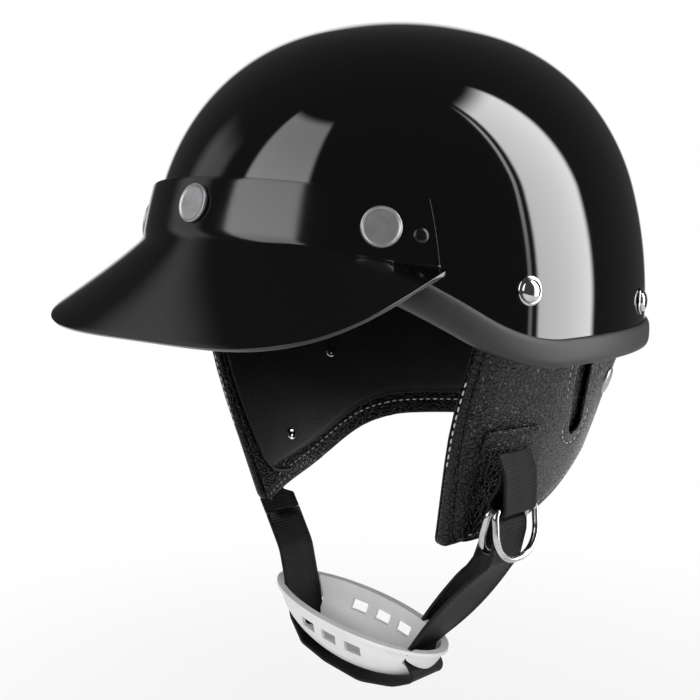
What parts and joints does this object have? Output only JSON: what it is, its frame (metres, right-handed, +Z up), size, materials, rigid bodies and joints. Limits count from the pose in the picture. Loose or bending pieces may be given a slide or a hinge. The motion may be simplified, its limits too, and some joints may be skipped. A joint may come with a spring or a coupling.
{
  "type": "half shell motorcycle helmet",
  "caption": "Half shell riding helmet with a detachable peak, riveted rubber rim trim, leather ear and nape skirt, ring-fastened chin strap and white chin cup.",
  "frame": {"origin": "middle of the head opening, level with the widest line of the shell: where the wearer's head holds the helmet", "axes": "+Z up out of the crown, -Y forward under the peak, +X to the wearer's left, the side of the strap's rings"},
  "size_m": [0.2356, 0.3112, 0.3317],
  "materials": {
    "shell_paint": "gloss",
    "edge_rubber": "matt",
    "liner_foam": "matt",
    "pad_cloth": "brushed knit",
    "rivet_chrome": "polished",
    "snap_steel": "satin",
    "black_rivet": "semi-gloss",
    "peak_plastic": "gloss",
    "skirt_leather": "grained",
    "skirt_padding": "matt",
    "lining_leather": "smooth",
    "binding_leather": "stitched",
    "webbing": "ribbed",
    "ring_metal": "polished",
    "cup_plastic": "satin"
  },
  "bodies": {
    "helmet": {"outer_shell": "shell_paint", "foam_liner": "liner_foam", "crown_pad": "pad_cloth", "sweatband": "pad_cloth", "edge_trim": "edge_rubber", "shell_rivets": "rivet_chrome", "rivet_washers": "rivet_chrome", "rivet_burrs": "rivet_chrome", "shell_snap_studs": "snap_steel", "left_ear_leather": "skirt_leather", "left_ear_padding": "skirt_padding", "left_ear_lining": "lining_leather", "left_ear_binding": "binding_leather", "left_flap_cap": "snap_steel", "left_lining_snaps": "snap_steel", "left_strap_patch": "skirt_leather", "right_ear_leather": "skirt_leather", "right_ear_padding": "skirt_padding", "right_ear_lining": "lining_leather", "right_ear_binding": "binding_leather", "right_flap_cap": "snap_steel", "right_lining_snaps": "snap_steel", "nape_leather": "skirt_leather", "nape_padding": "skirt_padding", "nape_lining": "lining_leather", "nape_binding": "binding_leather", "ring_webbing": "webbing", "hem_web": "webbing"},
    "peak": {"peak": "peak_plastic", "peak_snap_caps": "snap_steel", "peak_snap_sockets": "snap_steel", "peak_rivets": "black_rivet"},
    "strap": {"chin_strap": "webbing", "outer_ring": "ring_metal", "inner_ring": "ring_metal", "chin_cup": "cup_plastic"}
  },
  "joints": [
    {"name": "peak_pull", "type": "slide", "parent": "helmet", "child": "peak", "axis": [0, -1, 0], "range_m": [0, 0.09]},
    {"name": "strap_swing", "type": "hinge", "parent": "helmet", "child": "strap", "pos_m": [0.0932, -0.029, -0.0618], "axis": [0.9685, 0, 0.2489], "range_deg": [-25, 12], "deforming": ["ring_webbing", "hem_web"]}
  ]
}
